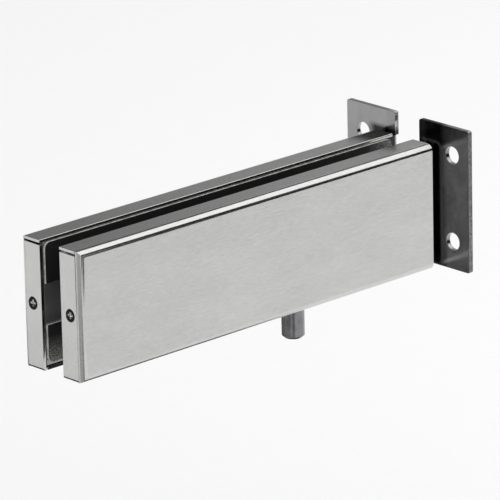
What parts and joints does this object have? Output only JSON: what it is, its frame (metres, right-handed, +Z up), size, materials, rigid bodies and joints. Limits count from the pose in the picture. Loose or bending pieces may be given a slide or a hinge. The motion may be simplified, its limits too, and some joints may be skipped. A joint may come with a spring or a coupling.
{
  "type": "glass patch fitting",
  "caption": "Slim glass door patch fitting: two satin folded covers either side of a glass slot, wall flanges at one end and a round pivot pin below.",
  "frame": {"origin": "on the pivot pin's axis, level with the underside of the two covers", "axes": "+X along the fitting towards the wall flanges, -Y towards the front cover, +Z up"},
  "size_m": [0.1865, 0.0668, 0.075],
  "materials": {
    "cover_sheet": "fine satin-ground stainless sheet",
    "plate_steel": "mill-finish stainless plate",
    "gasket_rubber": "matt black sheet rubber",
    "block_steel": "milled and zinc-plated",
    "pin_steel": "turned and polished",
    "fastener_zinc": "zinc-plated",
    "fastener_black": "black oxide",
    "spring_steel": "rolled spring strip",
    "sleeve_plastic": "moulded, milky"
  },
  "bodies": {
    "root": {"front_cover": "cover_sheet", "rear_cover": "cover_sheet", "front_clamp_plate": "plate_steel", "rear_clamp_plate": "plate_steel", "front_screw_lug": "plate_steel", "rear_screw_lug": "plate_steel", "front_top_gasket": "gasket_rubber", "front_foot_gasket": "gasket_rubber", "front_wall_gasket": "gasket_rubber", "rear_top_gasket": "gasket_rubber", "rear_foot_gasket": "gasket_rubber", "rear_wall_gasket": "gasket_rubber", "pivot_block": "block_steel", "pivot_pin": "pin_steel", "pin_lock_screw": "fastener_black", "clamp_screw_1": "fastener_zinc", "clamp_screw_2": "fastener_zinc", "clamp_screw_3": "fastener_zinc", "clamp_screw_4": "fastener_zinc", "clamp_nut_1": "fastener_zinc", "clamp_nut_2": "fastener_zinc", "clamp_nut_3": "fastener_zinc", "clamp_nut_4": "fastener_zinc", "screw_sleeve_1": "sleeve_plastic", "screw_sleeve_2": "sleeve_plastic", "front_cover_screw": "fastener_black", "rear_cover_screw": "fastener_black", "front_cover_clip": "spring_steel", "rear_cover_clip": "spring_steel", "front_clip_rivet": "fastener_zinc", "rear_clip_rivet": "fastener_zinc"}
  },
  "joints": []
}
